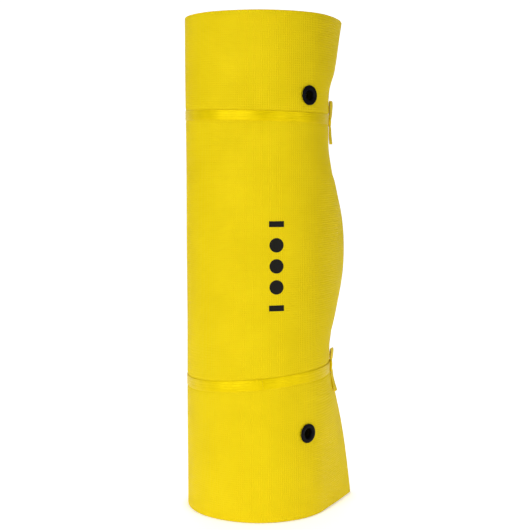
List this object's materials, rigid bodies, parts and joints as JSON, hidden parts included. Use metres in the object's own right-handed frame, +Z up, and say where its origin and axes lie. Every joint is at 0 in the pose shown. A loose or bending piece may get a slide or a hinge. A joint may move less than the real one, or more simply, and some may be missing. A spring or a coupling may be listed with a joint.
{
  "type": "rolled foam sleeping pad",
  "caption": "Closed-cell foam sleeping pad rolled into a cylinder, tied with ribbons, with eyelets near the free edge; the outer turn unrolls.",
  "frame": {"origin": "on the roll's axis, at the floor that the roll stands on", "axes": "+Z up along the roll's axis, -Y towards the front with the printed mark, +X towards the free edge"},
  "size_m": [0.2118, 0.1778, 0.61],
  "materials": {
    "foam": "closed-cell foam with a fine moulded emboss",
    "ribbon": "satin ribbed ribbon",
    "eyelet": "smooth black",
    "ink": "printed black ink"
  },
  "bodies": {
    "root": {"foam_core": "foam", "upper_ribbon_root": "ribbon", "lower_ribbon_root": "ribbon"},
    "panel_1": {"foam_panel_1": "foam", "upper_ribbon_1": "ribbon", "lower_ribbon_1": "ribbon"},
    "panel_2": {"foam_panel_2": "foam", "upper_ribbon_2": "ribbon", "lower_ribbon_2": "ribbon"},
    "panel_3": {"foam_panel_3": "foam", "upper_ribbon_3": "ribbon", "lower_ribbon_3": "ribbon"},
    "panel_4": {"foam_panel_4": "foam", "upper_ribbon_4": "ribbon", "lower_ribbon_4": "ribbon"},
    "panel_5": {"foam_panel_5": "foam", "upper_ribbon_5": "ribbon", "lower_ribbon_5": "ribbon"},
    "panel_6": {"foam_panel_6": "foam", "upper_ribbon_6": "ribbon", "lower_ribbon_6": "ribbon", "printed_mark": "ink"},
    "panel_7": {"foam_panel_7": "foam", "upper_ribbon_7": "ribbon", "lower_ribbon_7": "ribbon", "upper_eyelet": "eyelet", "upper_eyelet_washer": "eyelet", "lower_eyelet": "eyelet", "lower_eyelet_washer": "eyelet"},
    "flap": {"foam_flap": "foam", "upper_ribbon_8": "ribbon", "lower_ribbon_8": "ribbon", "upper_knot": "ribbon", "lower_knot": "ribbon"},
    "upper_loop": {"upper_bow_loop": "ribbon"},
    "upper_tails": {"upper_tail_long": "ribbon", "upper_tail_short": "ribbon"},
    "lower_loop": {"lower_bow_loop": "ribbon"},
    "lower_tails": {"lower_tail_long": "ribbon", "lower_tail_short": "ribbon"}
  },
  "joints": [
    {"name": "unroll_1", "type": "hinge", "parent": "root", "child": "panel_1", "pos_m": [-0.03409, 0.0803, 0.305], "axis": [0, 0, -1], "range_deg": [0, 30]},
    {"name": "unroll_2", "type": "hinge", "parent": "panel_1", "child": "panel_2", "pos_m": [-0.07049, 0.05312, 0.305], "axis": [0, 0, -1], "range_deg": [0, 30]},
    {"name": "unroll_3", "type": "hinge", "parent": "panel_2", "child": "panel_3", "pos_m": [-0.08862, 0.01088, 0.305], "axis": [0, 0, -1], "range_deg": [0, 30]},
    {"name": "unroll_4", "type": "hinge", "parent": "panel_3", "child": "panel_4", "pos_m": [-0.08313, -0.03529, 0.305], "axis": [0, 0, -1], "range_deg": [0, 30]},
    {"name": "unroll_5", "type": "hinge", "parent": "panel_4", "child": "panel_5", "pos_m": [-0.05497, -0.07294, 0.305], "axis": [0, 0, -1], "range_deg": [0, 30]},
    {"name": "unroll_6", "type": "hinge", "parent": "panel_5", "child": "panel_6", "pos_m": [-0.01126, -0.09167, 0.305], "axis": [0, 0, -1], "range_deg": [0, 30]},
    {"name": "unroll_7", "type": "hinge", "parent": "panel_6", "child": "panel_7", "pos_m": [0.03497, -0.08655, 0.305], "axis": [0, 0, -1], "range_deg": [0, 30]},
    {"name": "unroll_8", "type": "hinge", "parent": "panel_7", "child": "flap", "pos_m": [0.08654, -0.04221, 0.305], "axis": [0, 0, -1], "range_deg": [0, 30]},
    {"name": "upper_loop_flop", "type": "hinge", "parent": "flap", "child": "upper_loop", "pos_m": [0.09835, -0.00343, 0.4875], "axis": [0.0349, 0.9994, 0], "range_deg": [0, 60], "stiffness_Nm_per_rad": 0.001},
    {"name": "upper_tails_flop", "type": "hinge", "parent": "flap", "child": "upper_tails", "pos_m": [0.09835, -0.00343, 0.4765], "axis": [-0.0349, -0.9994, 0], "range_deg": [0, 60], "stiffness_Nm_per_rad": 0.001},
    {"name": "lower_loop_flop", "type": "hinge", "parent": "flap", "child": "lower_loop", "pos_m": [0.09835, -0.00343, 0.185], "axis": [0.0349, 0.9994, 0], "range_deg": [0, 60], "stiffness_Nm_per_rad": 0.001},
    {"name": "lower_tails_flop", "type": "hinge", "parent": "flap", "child": "lower_tails", "pos_m": [0.09835, -0.00343, 0.169], "axis": [-0.0349, -0.9994, 0], "range_deg": [0, 60], "stiffness_Nm_per_rad": 0.001}
  ],
  "couplings": [
    {"joint": "unroll_2", "follows": "unroll_1", "ratio": 1},
    {"joint": "unroll_3", "follows": "unroll_1", "ratio": 1},
    {"joint": "unroll_4", "follows": "unroll_1", "ratio": 1},
    {"joint": "unroll_5", "follows": "unroll_1", "ratio": 1},
    {"joint": "unroll_6", "follows": "unroll_1", "ratio": 1},
    {"joint": "unroll_7", "follows": "unroll_1", "ratio": 1},
    {"joint": "unroll_8", "follows": "unroll_1", "ratio": 1}
  ]
}
